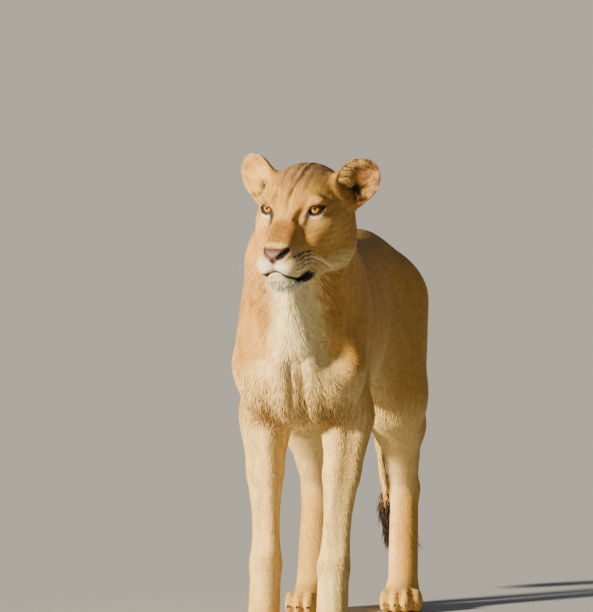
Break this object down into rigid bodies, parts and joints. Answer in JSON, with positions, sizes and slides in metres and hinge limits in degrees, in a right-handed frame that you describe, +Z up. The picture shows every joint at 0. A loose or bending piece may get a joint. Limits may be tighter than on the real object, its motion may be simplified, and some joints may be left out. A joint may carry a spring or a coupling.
{
  "type": "lioness",
  "caption": "Life-size lioness standing still on four paws with the head turned a little to the right, ears up and tail hanging with a dark tuft.",
  "frame": {"origin": "on the floor under the middle of the bounding box, level with the paw soles", "axes": "+Z up, the lioness faces -Y, +X is the lioness's left side"},
  "size_m": [0.3822, 1.4918, 1.0798],
  "materials": {
    "coat": "short tawny hair lying flat, matt",
    "pale_coat": "cream-white hair, matt",
    "dark_coat": "dark brown, nearly black hair, matt",
    "ear_coat": "tawny hair outside, long buff hair inside",
    "nose_skin": "moist pinkish brown skin with fine grain",
    "eye": "clear wet cornea over an amber iris and a round pupil"
  },
  "bodies": {
    "root": {"head": "coat", "lower_jaw": "pale_coat", "nose": "nose_skin", "ear_left": "ear_coat", "ear_right": "ear_coat", "eye_left": "eye", "eye_right": "eye", "neck": "coat", "trunk": "coat", "foreleg_left": "coat", "foreleg_right": "coat", "forepaw_left": "coat", "forepaw_right": "coat", "hindleg_left": "coat", "hindleg_right": "coat", "hindpaw_left": "coat", "hindpaw_right": "coat", "tail": "coat", "tail_tuft": "dark_coat"}
  },
  "joints": []
}
